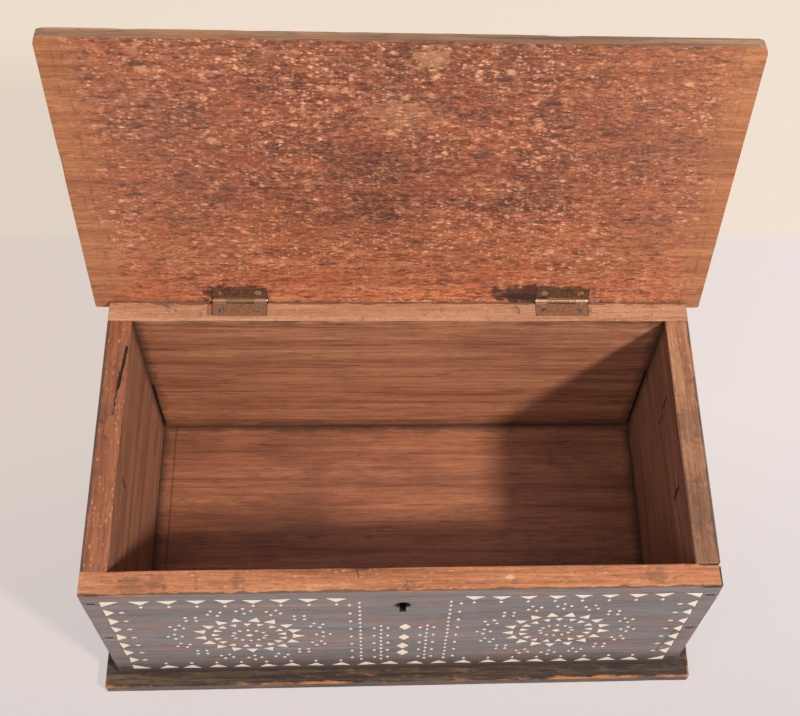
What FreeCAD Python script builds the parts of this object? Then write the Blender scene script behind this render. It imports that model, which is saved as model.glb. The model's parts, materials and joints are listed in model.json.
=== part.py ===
import FreeCAD, Part
import math
import os
import random

os.makedirs("parts", exist_ok=True)

# An inlaid wooden box: five butt-jointed and nailed boards, a lid board on two small butt
# hinges, and bone pieces set flush in pockets in the front and in the lid's upper face.
# Millimetres.  The origin is the centre of the base board's underside, +Z is up, the front
# faces -Y, and the box is stored open, with the lid against its stop.

# ---- boards
body_width = 380.0            # over the outer faces of the side boards
body_depth = 200.0            # front board's outer face to back board's outer face
wall_height = 154.0           # above the base board
front_thickness = 15.0
back_thickness = 14.0
side_thickness = 15.5
base_thickness = 10.0
base_overhang = 9.5           # base board past the walls, all round
lid_thickness = 8.0
lid_side_overhang = 10.0      # lid past the side boards
lid_front_overhang = 8.0      # lid past the front board
lid_front_corner = 5.0        # rounding of the lid's two front corners
lid_back_corner = 1.5         # rounding of its two back corners

# ---- how the lid hangs
lid_open_angle = 100.0        # from closed to resting against the back board
lid_seat_gap = 0.3            # closed lid above the rim of the walls
lid_stop_gap = 0.1            # open lid's lower edge off the back board
pin_setback = 1.2             # pin axis behind the back board's outer face

# ---- butt hinges
hinge_spacing = 212.0         # centre to centre
leaf_width = 35.0
leaf_depth = 11.5             # from the pin's axis to the leaf's far edge
leaf_thickness = 1.2
leaf_sink = 0.05              # leaf below the wood's surface
leaf_corner = 0.8
knuckle_radius = 2.1
middle_knuckle = 18.0         # length of the lid leaf's one knuckle
knuckle_end_gap = 0.2
knuckle_swing_gap = 0.3       # knuckle to leaf edge and to wood
pin_radius = 1.0
pin_running_gap = 0.05        # radial, in the knuckle that turns
pin_end = 0.6                 # pin past the outer knuckles
mortise_gap = 0.3             # wood to leaf, on the three cut sides
left_mortise_extra = 3.5      # the left mortise in the back board was cut too wide

# ---- hinge screws
screw_spacing = 24.0
screw_from_pin = 7.0
screw_head_radius = 2.2
screw_head_sink = 0.05
screw_shank_radius = 1.1
rim_screw_length = 12.0
lid_screw_length = 6.4
screw_slot_width = 0.6
screw_slot_depth = 0.5

# ---- cut nails
nail_shank = 2.0              # square
nail_length = 32.0
nail_head_length = 5.0
nail_head_width = 2.2
nail_head_thickness = 1.2
nail_sink = 0.4
corner_nail_edge = 5.5        # nail from the side board's outer face
corner_nail_margin = 14.0     # top and bottom nail from the wall's top and bottom edges
corner_nail_count = 3
base_nail_spacing = 120.0

# ---- keyhole, right through the front board
keyhole_x = -1.5
keyhole_drop = 23.5           # centre of its round part below the rim
keyhole_radius = 4.4
keyhole_slot_width = 4.0
keyhole_slot_drop = 36.0      # foot of its slot below the rim

# ---- bone inlay
bone_thickness = 1.2
pocket_gap = 0.1              # mastic line round each piece
hand_wander = 0.5             # how far a hand-set piece strays
hand_turn = 7.0               # degrees that it strays
small_piece_care = 0.4        # chips, beads and dots stray by this share of that
largest_cut = 1.06            # a piece's size against its pattern, at the most
smallest_cut = 0.9
border_inset = 10.5           # outer edge of the border from the board's edge
border_pitch = 16.2
tooth_width = 12.6
tooth_height = 5.8
tooth_point = 1.0             # width of its blunt point
dot_width = 2.6
dot_length = 4.2
dot_gap = 2.4                 # tooth's point to its dot
wedge_length = 12.0           # corner wedge, along the panel's width
wedge_height = 8.5            # along its height
corner_gap = 2.4              # corner wedge to the first tooth
keyhole_bare = 78.0           # stretch of the front's upper border left out at the keyhole
rosette_margin = 1.5          # rosette to whatever bounds it
rosette_shift = 3.5           # rosettes stand a little towards the centre
cluster_ring = 45.5           # radii of a rosette's rings, where it has room for them
ray_ring = 30.5
inner_ray_ring = 20.5
seed_ring = 10.0
cluster_arm = 4.2             # centre of a cluster to each of its four chips
cluster_pitch = 18.0
chip_width = 2.6
chip_length = 3.6
ray_width = 7.6               # outer ring of a rosette, pointing outwards
ray_length = 7.6
ray_pitch = 11.3
inner_ray_width = 5.0         # next ring, pointing inwards
inner_ray_length = 5.2
inner_ray_pitch = 7.4
seed_pitch = 5.2              # small lozenges round the heart
heart_size = 5.4
column_offset = 27.5          # outer bead columns from the centre line
inner_column_offset = 14.5
bead_width = 2.3
bead_length = 4.4
bead_pitch = 7.5
column_dot_offset = 6.0       # dots outside the outer bead columns
inner_dot_offset = 4.3        # dots each side of the inner bead columns
inner_column_drop = 63.0      # top of the inner columns below the panel's upper edge
drop_width = 8.6
drop_length = 13.0
drop_step = 14.5              # lowest two lozenges of the centre row
drop_growth = 1.2             # each step up the row is this much longer
drop_count = 4
lid_ring_gap = 6.0            # extra bead ring round the lid's rosettes

# ---- worked out from the sizes above
rim = base_thickness + wall_height
front_face = -body_depth / 2
back_face = body_depth / 2
half_width = body_width / 2
pin_y = back_face + pin_setback
pin_z = rim + lid_seat_gap / 2
pin_axis = FreeCAD.Vector(0, pin_y, pin_z)
open_radians = math.radians(lid_open_angle)
stop_reach = pin_setback + lid_seat_gap / 2 * math.sin(open_radians) - lid_stop_gap
lid_behind_pin = stop_reach / -math.cos(open_radians)
lid_under = rim + lid_seat_gap
lid_width = body_width + 2 * lid_side_overhang
lid_front = front_face - lid_front_overhang
lid_back = pin_y + lid_behind_pin
border_depth = border_inset + tooth_height + dot_gap + dot_length
rosette_radius = cluster_ring + cluster_arm + chip_length / 2
X_AXIS = FreeCAD.Vector(1, 0, 0)
Y_AXIS = FreeCAD.Vector(0, 1, 0)
Z_AXIS = FreeCAD.Vector(0, 0, 1)
FACING_FRONT = FreeCAD.Rotation(X_AXIS, 90)
FACING_BACK = FreeCAD.Rotation(X_AXIS, -90)
FACING_DOWN = FreeCAD.Rotation(X_AXIS, 180)


def block(x0, x1, y0, y1, z0, z1):
    """A block between two corners."""
    return Part.makeBox(x1 - x0, y1 - y0, z1 - z0, FreeCAD.Vector(x0, y0, z0))


def spread(reach, count):
    """Evenly spaced places from -reach to +reach."""
    return [-reach + 2 * reach * index / (count - 1) for index in range(count)]


def rod(radius, x0, x1):
    """A round bar on the pin's axis."""
    return Part.makeCylinder(radius, x1 - x0, FreeCAD.Vector(x0, pin_y, pin_z), X_AXIS)


def put(shape, turn, x, y, z):
    """A copy of a shape made at the origin, turned and moved to its place."""
    placed = shape.copy()
    placed.Placement = FreeCAD.Placement(FreeCAD.Vector(x, y, z), turn)
    return placed


def opened(shape):
    """A shape drawn on the closed lid, swung to the open position."""
    swung = shape.copy()
    swung.rotate(pin_axis, X_AXIS, -lid_open_angle)
    return swung


def save(name, solids):
    """One STEP file, of one solid or of a group of separate solids."""
    shape = solids[0] if len(solids) == 1 else Part.makeCompound(solids)
    shape.exportStep("parts/" + name + ".step")


# ---- bone pieces: outlines in a panel's own plane, u to the right and v up

class Panel:
    """The bone pieces of one decorated face, and the pockets that hold them."""

    def __init__(self, name, width, height, seed):
        self.name = name
        self.width = width
        self.height = height
        self.groups = {}
        self.pockets = []
        self.hand = random.Random(seed)

    def set_piece(self, group, outline, u, v, turn, stray=1.0, fit=1.0):
        """Cut and set one piece: its outline is turned, moved and given its thickness."""
        turn = turn + self.hand.uniform(-hand_turn, hand_turn) * stray
        u = u + self.hand.uniform(-hand_wander, hand_wander) * stray
        v = v + self.hand.uniform(-hand_wander, hand_wander) * stray
        size = self.hand.uniform(smallest_cut, largest_cut) * fit
        cosine = math.cos(math.radians(turn))
        sine = math.sin(math.radians(turn))
        corners = []
        for a, b in outline:
            corners.append((u + size * (a * cosine - b * sine), v + size * (a * sine + b * cosine)))
        self.groups.setdefault(group, []).append(slab(corners, bone_thickness))
        self.pockets.append(slab(grown(corners, pocket_gap), bone_thickness, pocket_gap))

    def ring(self, group, outline, centre, radius, pitch, turn, start=0.0, stray=1.0, fit=1.0):
        """Pieces set round a circle, each with its v axis pointing outwards plus turn.
        fit shrinks or stretches the circle and its pieces, and keeps their number."""
        count = max(3, round(2 * math.pi * radius / pitch))
        for index in range(count):
            angle = start + 360.0 * index / count
            u = centre[0] + fit * radius * math.sin(math.radians(angle))
            v = centre[1] + fit * radius * math.cos(math.radians(angle))
            self.set_piece(group, outline, u, v, turn - angle, stray, fit)

    def column(self, group, outline, u, top, bottom, pitch):
        """Pieces set down an upright line."""
        count = max(2, round((top - bottom) / pitch) + 1)
        for index in range(count):
            v = top + (bottom - top) * index / (count - 1)
            self.set_piece(group, outline, u, v, 0, small_piece_care)


def slab(corners, thickness, proud=0.0):
    """A flat piece below the plane of its panel, or standing proud of it to make a cutter."""
    points = [FreeCAD.Vector(u, v, -thickness) for u, v in corners]
    face = Part.Face(Part.makePolygon(points + points[:1]))
    return face.extrude(FreeCAD.Vector(0, 0, thickness + proud))


def grown(corners, margin):
    """A convex outline, listed anticlockwise, with every side moved outwards by margin."""
    lines = []
    count = len(corners)
    for index in range(count):
        u0, v0 = corners[index]
        u1, v1 = corners[(index + 1) % count]
        length = math.hypot(u1 - u0, v1 - v0)
        out_u = (v1 - v0) / length
        out_v = (u0 - u1) / length
        lines.append((out_u, out_v, out_u * u0 + out_v * v0 + margin))
    moved = []
    for index in range(count):
        a0, b0, c0 = lines[index - 1]
        a1, b1, c1 = lines[index]
        size = a0 * b1 - a1 * b0
        moved.append(((c0 * b1 - c1 * b0) / size, (a0 * c1 - a1 * c0) / size))
    return moved


def triangle(width, height):
    """A triangle that points along +v, with its middle at the origin."""
    return [(-width / 2, -height / 2), (width / 2, -height / 2), (0, height / 2)]


def tooth():
    """A border tooth: a low triangle with its point cut blunt."""
    low = -tooth_height / 2
    high = tooth_height / 2
    return [(-tooth_width / 2, low), (tooth_width / 2, low), (tooth_point / 2, high),
            (-tooth_point / 2, high)]


def lozenge(width, length):
    """A lozenge with its long way along v."""
    return [(0, -length / 2), (width / 2, 0), (0, length / 2), (-width / 2, 0)]


def corner_wedges(panel):
    """A right-angled wedge in each corner of the border."""
    for side_u in (-1, 1):
        for side_v in (-1, 1):
            outline = [(0, 0), (-side_u * wedge_length, 0), (0, -side_v * wedge_height)]
            if side_u * side_v < 0:
                outline.reverse()
            u = side_u * (panel.width / 2 - border_inset)
            v = side_v * (panel.height / 2 - border_inset)
            panel.set_piece("corner_wedges", outline, u, v, 0, small_piece_care)


def tooth_reach(half, wedge):
    """How far from the middle of an edge its last tooth stands."""
    half_tooth = tooth_width * largest_cut / 2 + 2 * hand_wander
    return half - border_inset - wedge * largest_cut - half_tooth - corner_gap


def border(panel, bare_edges, gap_at=0.0, gap_width=0.0):
    """Corner wedges, and teeth and dots that point inwards along the four edges. The middle of
    a bare edge has no dots, where the bead columns end, and the upper edge can have a gap."""
    corner_wedges(panel)
    half_u = panel.width / 2
    half_v = panel.height / 2
    along_u = tooth_reach(half_u, wedge_length)
    along_v = tooth_reach(half_v, wedge_height)
    columns = column_offset + (bead_width + dot_width) * largest_cut / 2 + 2 * hand_wander
    for turn, across, reach in ((0, half_v, along_u), (180, half_v, along_u),
                                (90, half_u, along_v), (270, half_u, along_v)):
        count = max(2, round(2 * reach / border_pitch) + 1)
        for place in spread(reach, count):
            if turn == 180 and abs(gap_at - place) < gap_width / 2:
                continue
            set_on_edge(panel, turn, across, place, turn in bare_edges and abs(place) < columns)


def set_on_edge(panel, turn, across, place, bare):
    """One tooth and its dot on an edge; turn is the way that the tooth points."""
    cosine = math.cos(math.radians(turn))
    sine = math.sin(math.radians(turn))
    mirrored = place if turn in (0, 90) else -place
    out = border_inset + tooth_height / 2 - across
    panel.set_piece("border_teeth", tooth(), mirrored * cosine - out * sine,
                    mirrored * sine + out * cosine, turn)
    if bare:
        return
    out = border_inset + tooth_height + dot_gap + dot_length / 2 - across
    panel.set_piece("border_dots", lozenge(dot_width, dot_length), mirrored * cosine - out * sine,
                    mirrored * sine + out * cosine, turn, small_piece_care)


def rosette(panel, side, centre, fit):
    """A heart, a ring of seeds, a ring pointing in, a ring pointing out, and clusters."""
    name = side + "_rosette_"
    chip = lozenge(chip_width, chip_length)
    panel.set_piece(name + "heart", lozenge(heart_size, heart_size), *centre, 0, 1.0, fit)
    panel.ring(name + "heart", chip, centre, seed_ring, seed_pitch, 0, 0.0, small_piece_care, fit)
    inner = triangle(inner_ray_width, inner_ray_length)
    panel.ring(name + "inner_rays", inner, centre, inner_ray_ring, inner_ray_pitch, 180, fit=fit)
    outer = triangle(ray_width, ray_length)
    panel.ring(name + "outer_rays", outer, centre, ray_ring, ray_pitch, 0, 180.0, fit=fit)
    count = round(2 * math.pi * cluster_ring / cluster_pitch)
    for index in range(count):
        angle = math.radians(360.0 * index / count)
        u = centre[0] + fit * cluster_ring * math.sin(angle)
        v = centre[1] + fit * cluster_ring * math.cos(angle)
        for arm in range(4):
            around = math.radians(90.0 * arm) + angle
            chip_u = u + fit * cluster_arm * math.sin(around)
            chip_v = v + fit * cluster_arm * math.cos(around)
            panel.set_piece(name + "clusters", chip, chip_u, chip_v, 0, small_piece_care, fit)


def centre_panel(panel, outer_top, inner_top):
    """Bead columns with their dots, and a row of large lozenges down the middle."""
    bead = lozenge(bead_width, bead_length)
    dot = lozenge(dot_width, dot_length)
    bottom = border_depth - panel.height / 2
    for side in (-1, 1):
        outer_u = side * column_offset
        panel.column("bead_columns", bead, outer_u, outer_top, bottom, bead_pitch)
        panel.column("column_dots", dot, outer_u + side * column_dot_offset,
                     outer_top - bead_pitch / 2, bottom + bead_pitch / 2, 2 * bead_pitch)
        inner_u = side * inner_column_offset
        panel.column("bead_columns", bead, inner_u, inner_top, bottom, bead_pitch)
        for beside in (-1, 1):
            panel.column("column_dots", dot, inner_u + beside * inner_dot_offset,
                         inner_top - bead_pitch / 2, bottom + bead_pitch / 2, 2 * bead_pitch)
    drop_v = bottom + drop_length
    step = drop_step
    for index in range(drop_count):
        panel.set_piece("centre_lozenges", lozenge(drop_width, drop_length), 0, drop_v, 0)
        drop_v = drop_v + step
        step = step * drop_growth


def rosette_room(panel):
    """Radius of the circle that clears the borders and the centre panel."""
    free_height = panel.height / 2 - border_depth
    panel_edge = column_offset + column_dot_offset + dot_width / 2
    free_width = (panel.width / 2 - border_depth - panel_edge) / 2 - rosette_shift
    return min(free_height, free_width) - rosette_margin


def rosette_offset(panel):
    """Centre of a rosette from the panel's centre line."""
    panel_edge = column_offset + column_dot_offset + dot_width / 2
    return (panel.width / 2 - border_depth + panel_edge) / 2 - rosette_shift


def front_inlay():
    panel = Panel("front", body_width, wall_height, 11)
    border(panel, (0,), keyhole_x, keyhole_bare)
    fit = rosette_room(panel) / rosette_radius
    for side, sign in (("left", -1), ("right", 1)):
        rosette(panel, side, (sign * rosette_offset(panel), 0.0), fit)
    top = panel.height / 2 - border_depth + dot_length
    centre_panel(panel, top, panel.height / 2 - inner_column_drop)
    return panel


def lid_inlay():
    """The lid's rosettes are cut to the front's patterns, with a ring of beads round each."""
    panel = Panel("lid", lid_width, lid_back - lid_front, 12)
    border(panel, (0, 180))
    front = Panel("front", body_width, wall_height, 0)
    room = rosette_room(panel) - lid_ring_gap - bead_length
    fit = min(room, rosette_room(front)) / rosette_radius
    bead = lozenge(bead_width, bead_length)
    for side, sign in (("left", -1), ("right", 1)):
        centre = (sign * rosette_offset(panel), 0.0)
        rosette(panel, side, centre, fit)
        bead_ring = rosette_radius * fit + lid_ring_gap
        panel.ring("bead_rings", bead, centre, bead_ring, bead_pitch, 90, 0.0, small_piece_care)
    top = panel.height / 2 - border_depth
    centre_panel(panel, top, top)
    return panel


# ---- nails and screws, drawn with their heads at the origin and pointing down

def nail():
    head = block(-nail_head_length / 2, nail_head_length / 2, -nail_head_width / 2,
                 nail_head_width / 2, -nail_sink - nail_head_thickness, -nail_sink)
    half = nail_shank / 2
    shank = block(-half, half, -half, half, -nail_length, -nail_sink)
    return head.fuse(shank).removeSplitter()


def nail_hole():
    """The nail and the dent that its sunk head leaves above it."""
    dent = block(-nail_head_length / 2, nail_head_length / 2, -nail_head_width / 2,
                 nail_head_width / 2, -nail_sink, nail_sink)
    return nail().fuse(dent).removeSplitter()


def corner_nail_places():
    """Where the front and back boards are nailed to the ends of the side boards."""
    x = half_width - corner_nail_edge
    middle = base_thickness + wall_height / 2
    heights = spread(wall_height / 2 - corner_nail_margin, corner_nail_count)
    return [(side * x, middle + height) for side in (-1, 1) for height in heights]


def base_nail_places():
    """Where the base board is nailed up into the four walls."""
    count = max(2, int((body_width - 2 * side_thickness) / base_nail_spacing) + 1)
    places = []
    for x in spread(base_nail_spacing * (count - 1) / 2, count):
        places.append((x, front_face + front_thickness / 2))
        places.append((x, back_face - back_thickness / 2))
    for side in (-1, 1):
        for y in spread(body_depth / 4, 2):
            places.append((side * (half_width - side_thickness / 2), y))
    return places


def nails(make, places, turn):
    """One nail or one nail hole at each place (x, y, z)."""
    return [put(make(), turn, x, y, z) for x, y, z in places]


FRONT_NAILS = [(x, front_face, z) for x, z in corner_nail_places()]
BACK_NAILS = [(x, back_face, z) for x, z in corner_nail_places()]
BASE_NAILS = [(x, y, 0.0) for x, y in base_nail_places()]


def screw_blank(length):
    """A countersunk screw without its slot, its head's top at the origin."""
    cone = screw_head_radius - screw_shank_radius
    head = Part.makeCone(screw_shank_radius, screw_head_radius, cone,
                         FreeCAD.Vector(0, 0, -cone), Z_AXIS)
    shank_end = FreeCAD.Vector(0, 0, -length)
    point = Part.makeCone(0.2, screw_shank_radius, 2 * screw_shank_radius, shank_end, Z_AXIS)
    shank = Part.makeCylinder(screw_shank_radius, length - cone - 2 * screw_shank_radius,
                              FreeCAD.Vector(0, 0, 2 * screw_shank_radius - length), Z_AXIS)
    return head.fuse([shank, point]).removeSplitter()


def hole_cutter(screw):
    """A screw's shape, carried up through the face that its head is sunk in."""
    return screw.fuse(Part.makeCylinder(screw_head_radius, 2 * screw_head_sink + leaf_sink))


def slotted(screw, turn_of_slot):
    slot = block(-screw_head_radius, screw_head_radius, -screw_slot_width / 2,
                 screw_slot_width / 2, -screw_slot_depth, screw_slot_depth)
    slot.rotate(FreeCAD.Vector(0, 0, 0), Z_AXIS, turn_of_slot)
    return screw.cut(slot)


def screw_places(hinge_x, on_lid):
    """Head centres of a leaf's two screws, on the closed box."""
    y = pin_y - screw_from_pin
    z = lid_under + leaf_sink + screw_head_sink if on_lid else rim - leaf_sink - screw_head_sink
    return [(hinge_x + side * screw_spacing / 2, y, z) for side in (-1, 1)]


def screws(hinge_x, on_lid, as_holes=False):
    """A leaf's two screws, or the cutters of their holes, on the closed box."""
    turn = FACING_DOWN if on_lid else FreeCAD.Rotation()
    length = lid_screw_length if on_lid else rim_screw_length
    made = []
    for index, (x, y, z) in enumerate(screw_places(hinge_x, on_lid)):
        screw = screw_blank(length)
        if as_holes:
            screw = hole_cutter(screw)
        else:
            screw = slotted(screw, 25.0 + 70.0 * index + hinge_x / 5)
        made.append(put(screw, turn, x, y, z))
    return made


# ---- hinges

HINGES = (("left", -hinge_spacing / 2, left_mortise_extra), ("right", hinge_spacing / 2, mortise_gap))


def leaf_plate(hinge_x, on_lid):
    """A leaf's flat plate on the closed box, with its far corners rounded."""
    z = lid_under + leaf_sink if on_lid else rim - leaf_sink - leaf_thickness
    plate = block(hinge_x - leaf_width / 2, hinge_x + leaf_width / 2, pin_y - leaf_depth, pin_y,
                  z, z + leaf_thickness)
    far = [edge for edge in plate.Edges
           if edge.BoundBox.ZLength > leaf_thickness / 2 and edge.BoundBox.YMax < pin_y - 1]
    return plate.makeFillet(leaf_corner, far)


def hinge_leaf(hinge_x, on_lid):
    """A plate, its knuckles round the pin, and its two countersunk holes."""
    half = leaf_width / 2
    half_middle = middle_knuckle / 2
    middle = (hinge_x - half_middle, hinge_x + half_middle)
    outer = ((hinge_x - half, middle[0] - knuckle_end_gap), (middle[1] + knuckle_end_gap, hinge_x + half))
    own = (middle,) if on_lid else outer
    other = outer if on_lid else (middle,)
    leaf = leaf_plate(hinge_x, on_lid)
    clear = knuckle_radius + knuckle_swing_gap
    for x0, x1 in other:
        leaf = leaf.cut(block(x0 - knuckle_end_gap, x1 + knuckle_end_gap, pin_y - clear,
                              pin_y + clear, pin_z - clear, pin_z + clear))
    leaf = leaf.fuse([rod(knuckle_radius, x0, x1) for x0, x1 in own]).removeSplitter()
    bore = pin_radius + (pin_running_gap if on_lid else 0.0)
    leaf = leaf.cut(rod(bore, hinge_x - leaf_width, hinge_x + leaf_width))
    return leaf.cut(Part.makeCompound(screws(hinge_x, on_lid, True)))


def hinge_pin(hinge_x):
    half = leaf_width / 2 + pin_end
    return rod(pin_radius, hinge_x - half, hinge_x + half)


def mortise(hinge_x, on_lid, extra):
    """The wood that is cut away for a leaf, its knuckles and its screws."""
    x0 = hinge_x - leaf_width / 2
    x1 = hinge_x + leaf_width / 2 + mortise_gap
    x0 = x0 - (mortise_gap if on_lid else extra)
    y0 = pin_y - leaf_depth - mortise_gap
    clear = knuckle_radius + knuckle_swing_gap
    plate = leaf_thickness + leaf_sink
    low = lid_under - lid_seat_gap / 2 if on_lid else rim - plate
    high = lid_under + plate if on_lid else rim + lid_seat_gap / 2
    recess = block(x0, x1, y0, pin_y, low, high)
    trough = rod(clear, x0 - pin_end, x1 + pin_end)
    return [recess, trough] + screws(hinge_x, on_lid, True)


# ---- boards

def front_board():
    board = block(-half_width, half_width, front_face, front_face + front_thickness,
                  base_thickness, rim)
    centre = FreeCAD.Vector(keyhole_x, front_face - 1, rim - keyhole_drop)
    hole = Part.makeCylinder(keyhole_radius, front_thickness + 2, centre, Y_AXIS)
    slot = block(keyhole_x - keyhole_slot_width / 2, keyhole_x + keyhole_slot_width / 2,
                 front_face - 1, front_face + front_thickness + 1, rim - keyhole_slot_drop,
                 rim - keyhole_drop)
    board = board.cut([hole, slot])
    board = board.cut(nails(nail_hole, FRONT_NAILS, FACING_FRONT))
    return board.cut(nails(nail_hole, BASE_NAILS, FACING_DOWN))


def back_board():
    board = block(-half_width, half_width, back_face - back_thickness, back_face,
                  base_thickness, rim)
    board = board.cut(nails(nail_hole, BACK_NAILS, FACING_BACK))
    board = board.cut(nails(nail_hole, BASE_NAILS, FACING_DOWN))
    for _, hinge_x, extra in HINGES:
        board = board.cut(mortise(hinge_x, False, extra))
    return board


def side_board(side):
    outer = side * half_width
    inner = side * (half_width - side_thickness)
    board = block(min(outer, inner), max(outer, inner), front_face + front_thickness,
                  back_face - back_thickness, base_thickness, rim)
    board = board.cut(nails(nail_hole, FRONT_NAILS, FACING_FRONT))
    board = board.cut(nails(nail_hole, BACK_NAILS, FACING_BACK))
    return board.cut(nails(nail_hole, BASE_NAILS, FACING_DOWN))


def base_board():
    board = block(-half_width - base_overhang, half_width + base_overhang,
                  front_face - base_overhang, back_face + base_overhang, 0, base_thickness)
    return board.cut(nails(nail_hole, BASE_NAILS, FACING_DOWN))


def lid_board():
    """The lid on the closed box."""
    half = lid_width / 2
    board = block(-half, half, lid_front, lid_back, lid_under, lid_under + lid_thickness)
    upright = [edge for edge in board.Edges if edge.BoundBox.ZLength > lid_thickness / 2]
    front_edges = [edge for edge in upright if edge.BoundBox.YMax < 0]
    board = board.makeFillet(lid_front_corner, front_edges)
    back_edges = [edge for edge in board.Edges
                  if edge.BoundBox.ZLength > lid_thickness / 2
                  and edge.BoundBox.YMin > lid_back - lid_back_corner]
    board = board.makeFillet(lid_back_corner, back_edges)
    for _, hinge_x, extra in HINGES:
        board = board.cut(mortise(hinge_x, True, extra))
    return board


def set_in(board, panel, turn, x, y, z):
    """The board with the panel's pockets cut, and its bone groups laid in them."""
    pockets = [put(pocket, turn, x, y, z) for pocket in panel.pockets]
    board = board.cut(Part.makeCompound(pockets))
    groups = {}
    for group, pieces in panel.groups.items():
        groups[panel.name + "_" + group] = [put(piece, turn, x, y, z) for piece in pieces]
    return board, groups


def build():
    middle = base_thickness + wall_height / 2
    front, front_bone = set_in(front_board(), front_inlay(), FACING_FRONT, 0, front_face, middle)
    lid_middle = (lid_front + lid_back) / 2
    lid, lid_bone = set_in(lid_board(), lid_inlay(), FreeCAD.Rotation(), 0, lid_middle,
                           lid_under + lid_thickness)
    save("base_board", [base_board()])
    save("front_board", [front])
    save("back_board", [back_board()])
    save("left_side_board", [side_board(-1)])
    save("right_side_board", [side_board(1)])
    save("lid_board", [opened(lid)])
    save("front_corner_nails", nails(nail, FRONT_NAILS, FACING_FRONT))
    save("back_corner_nails", nails(nail, BACK_NAILS, FACING_BACK))
    save("base_nails", nails(nail, BASE_NAILS, FACING_DOWN))
    for side, hinge_x, _ in HINGES:
        save(side + "_hinge_rim_leaf", [hinge_leaf(hinge_x, False)])
        save(side + "_hinge_lid_leaf", [opened(hinge_leaf(hinge_x, True))])
        save(side + "_hinge_pin", [hinge_pin(hinge_x)])
        save(side + "_hinge_rim_screws", screws(hinge_x, False))
        lid_screws = screws(hinge_x, True)
        if side == "left":
            # the left hinge has lost its outer lid screw
            lid_screws = lid_screws[1:]
        save(side + "_hinge_lid_screws", [opened(screw) for screw in lid_screws])
    for name, pieces in front_bone.items():
        save(name, pieces)
    for name, pieces in lid_bone.items():
        save(name, [opened(piece) for piece in pieces])


build()
print("pin axis y, z:", round(pin_y, 4), round(pin_z, 4))
print("lid behind the pin:", round(lid_behind_pin, 4), "lid depth:", round(lid_back - lid_front, 4))
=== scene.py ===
import json
import math

import bmesh
import bpy
from mathutils import Matrix, Vector, noise


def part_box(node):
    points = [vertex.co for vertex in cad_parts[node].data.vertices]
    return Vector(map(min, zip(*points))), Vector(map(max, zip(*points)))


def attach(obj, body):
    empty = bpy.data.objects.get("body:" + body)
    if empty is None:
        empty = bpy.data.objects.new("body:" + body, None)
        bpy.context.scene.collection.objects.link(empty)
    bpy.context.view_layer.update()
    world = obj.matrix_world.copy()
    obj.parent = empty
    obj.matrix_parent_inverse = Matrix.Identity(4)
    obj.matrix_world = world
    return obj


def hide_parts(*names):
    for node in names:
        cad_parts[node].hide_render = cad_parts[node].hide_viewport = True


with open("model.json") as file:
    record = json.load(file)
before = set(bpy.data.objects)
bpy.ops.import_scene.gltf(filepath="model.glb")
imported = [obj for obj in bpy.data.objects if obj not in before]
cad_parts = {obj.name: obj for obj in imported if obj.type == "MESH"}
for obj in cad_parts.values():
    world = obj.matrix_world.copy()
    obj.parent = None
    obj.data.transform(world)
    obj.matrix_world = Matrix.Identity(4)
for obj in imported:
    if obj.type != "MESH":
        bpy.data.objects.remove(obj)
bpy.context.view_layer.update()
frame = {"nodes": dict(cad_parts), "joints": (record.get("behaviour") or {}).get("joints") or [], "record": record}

MM = 0.001
MERGE = 0.001 * MM           # vertices nearer than this are one
FLAT = math.radians(0.5)     # faces that meet at less than this are one
SHARP = math.radians(50)     # a board's edges that turn more than this are arrises
ROUND_OFF = 0.55 * MM        # radius of a worn arris
ARRIS_PIECE = 5 * MM         # length of the pieces that an arris is cut into
RUB = 0.35 * MM              # most that rubbing takes off an arris
CHIP = 3.0 * MM              # how fast a chip deepens
DEEPEST_CHIP = 1.4 * MM
DEEPEST_SIDE_CHIP = 0.4 * MM
DEEPEST_BACK_CHIP = 0.2 * MM
LEAF_MARGIN = 0.6 * MM       # no wear nearer a hinge leaf than this
LID_CORNER = 5.2 * MM        # the lid's corners are rounded in plan to about this
KEYHOLE_REACH = 20 * MM      # the keyhole lies within this of its centre
BONE_RISE = 0.12 * MM        # height of the bevel round a piece of bone
MASTIC_RISE = 0.03 * MM      # how far the mastic stands over the wood
METAL_SHARP = math.radians(40)
LEAF_SHORTEST = 1.0 * MM     # a leaf's edges shorter than this stay sharp
METAL_BEVEL = 0.12 * MM
SCREW_BEVEL = 0.06 * MM
NAIL_BEVEL = 0.15 * MM
TABLE = 6.0                  # half the table top's width, in metres

# ---- places read from the frame, in metres

hinge = frame["joints"][0]
pin = Vector(hinge["pos_m"])
travel = math.radians(hinge["range_deg"][1])
front_low, front_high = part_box("front_board")
back_low, back_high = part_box("back_board")
left_low, left_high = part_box("left_side_board")
right_low, right_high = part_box("right_side_board")
base_low, base_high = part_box("base_board")
rim = front_high[2]
floor_of_box = base_high[2]
keyhole = next(o for o in frame["record"]["physics"]["openings"] if o["name"] == "keyhole")["box_m"]
keyhole_centre = (Vector(keyhole[0]) + Vector(keyhole[1])) / 2
to_closed = Matrix.Translation(pin) @ Matrix.Rotation(travel, 4, "X") @ Matrix.Translation(-pin)
to_open = to_closed.inverted()
SLOTS = {entry["node"]: entry["material_slot"] for entry in frame["record"]["subparts"]}


def closed_box(node):
    """Corners of one of the lid's nodes as it lies on the closed box."""
    points = [to_closed @ v.co for v in frame["nodes"][node].data.vertices]
    low = Vector([min(p[i] for p in points) for i in range(3)])
    high = Vector([max(p[i] for p in points) for i in range(3)])
    return low, high


# ---- colours, nodes and patterns

def linear(hex_colour):
    """An sRGB hex colour as linear red, green, blue and alpha."""
    channels = []
    for start in (1, 3, 5):
        value = int(hex_colour[start:start + 2], 16) / 255
        channels.append(value / 12.92 if value <= 0.04045 else ((value + 0.055) / 1.055) ** 2.4)
    return (*channels, 1.0)


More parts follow.
